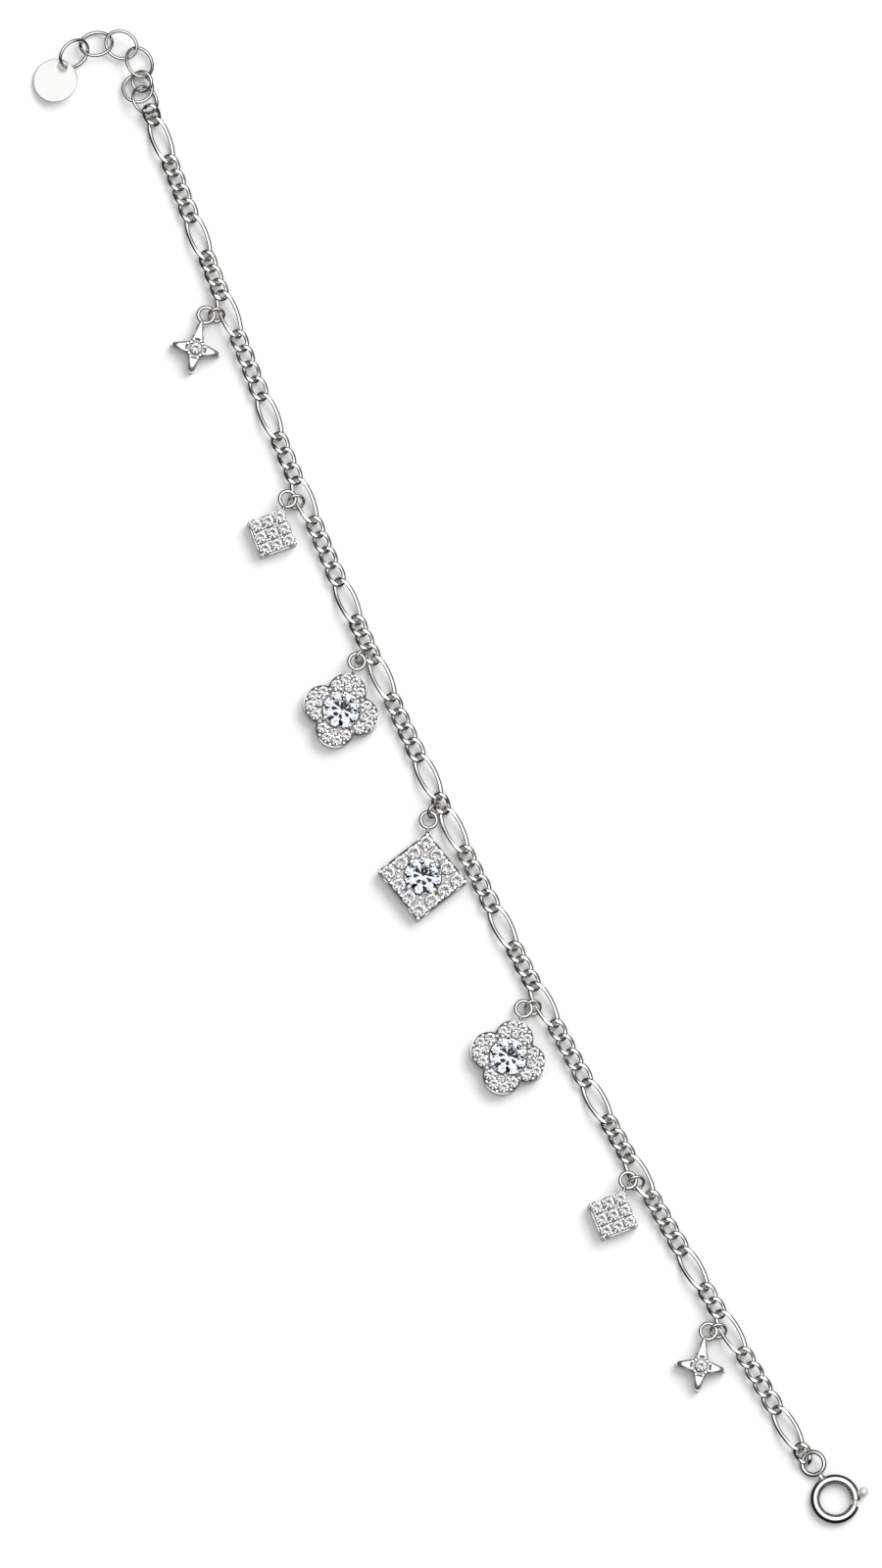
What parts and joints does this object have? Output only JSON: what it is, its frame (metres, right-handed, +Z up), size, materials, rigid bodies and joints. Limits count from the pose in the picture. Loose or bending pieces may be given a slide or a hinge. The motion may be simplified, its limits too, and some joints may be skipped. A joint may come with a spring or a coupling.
{
  "type": "charm anklet",
  "caption": "Silver figaro-chain charm anklet laid out open, with stone-set star, square, clover and diamond charms, an extender with a disc tag and a spring-ring clasp.",
  "frame": {"origin": "middle of the footprint, on the surface that the anklet lies on", "axes": "+X along the chain from the tag to the clasp, +Y away from the charms, +Z up from the surface"},
  "size_m": [0.2372, 0.0242, 0.0031],
  "materials": {
    "polished_silver": "polished silver wire",
    "setting_silver": "polished cast silver with bead-set clear stones",
    "brushed_tag": "satin silver disc, plain",
    "clear_stone": "clear colourless faceted stone"
  },
  "bodies": {
    "anklet": {"long_link_01": "polished_silver", "long_link_02": "polished_silver", "long_link_03": "polished_silver", "long_link_04": "polished_silver", "long_link_05": "polished_silver", "long_link_06": "polished_silver", "long_link_07": "polished_silver", "long_link_08": "polished_silver", "long_link_09": "polished_silver", "long_link_10": "polished_silver", "long_link_11": "polished_silver", "long_link_12": "polished_silver", "long_link_13": "polished_silver", "long_link_14": "polished_silver", "long_link_15": "polished_silver", "long_link_16": "polished_silver", "short_links_01": "polished_silver", "short_links_02": "polished_silver", "short_links_03": "polished_silver", "short_links_04": "polished_silver", "short_links_05": "polished_silver", "short_links_06": "polished_silver", "short_links_07": "polished_silver", "short_links_08": "polished_silver", "short_links_09": "polished_silver", "short_links_10": "polished_silver", "short_links_11": "polished_silver", "short_links_12": "polished_silver", "short_links_13": "polished_silver", "short_links_14": "polished_silver", "short_links_15": "polished_silver", "short_links_16": "polished_silver", "short_links_17": "polished_silver", "extender_ring_1": "polished_silver", "extender_ring_2": "polished_silver", "extender_ring_3": "polished_silver", "extender_ring_4": "polished_silver", "extender_ring_5": "polished_silver", "end_ring": "polished_silver", "spare_ring": "polished_silver", "tag": "brushed_tag", "star_1_setting": "setting_silver", "star_1_ring": "polished_silver", "square_1_setting": "setting_silver", "square_1_ring": "polished_silver", "clover_1_setting": "setting_silver", "clover_1_ring": "polished_silver", "diamond_setting": "setting_silver", "diamond_ring": "polished_silver", "clover_2_setting": "setting_silver", "clover_2_ring": "polished_silver", "square_2_setting": "setting_silver", "square_2_ring": "polished_silver", "star_2_setting": "setting_silver", "star_2_ring": "polished_silver", "clover_1_stone": "clear_stone", "diamond_stone": "clear_stone", "clover_2_stone": "clear_stone", "clasp_ring": "polished_silver"},
    "trigger": {"clasp_trigger": "polished_silver"}
  },
  "joints": [
    {"name": "clasp_trigger_slide", "type": "hinge", "parent": "anklet", "child": "trigger", "pos_m": [0.11513, 0.00734, 0.00069], "axis": [0, 0, 1], "range_deg": [0, 26], "stiffness_Nm_per_rad": 0.001}
  ]
}
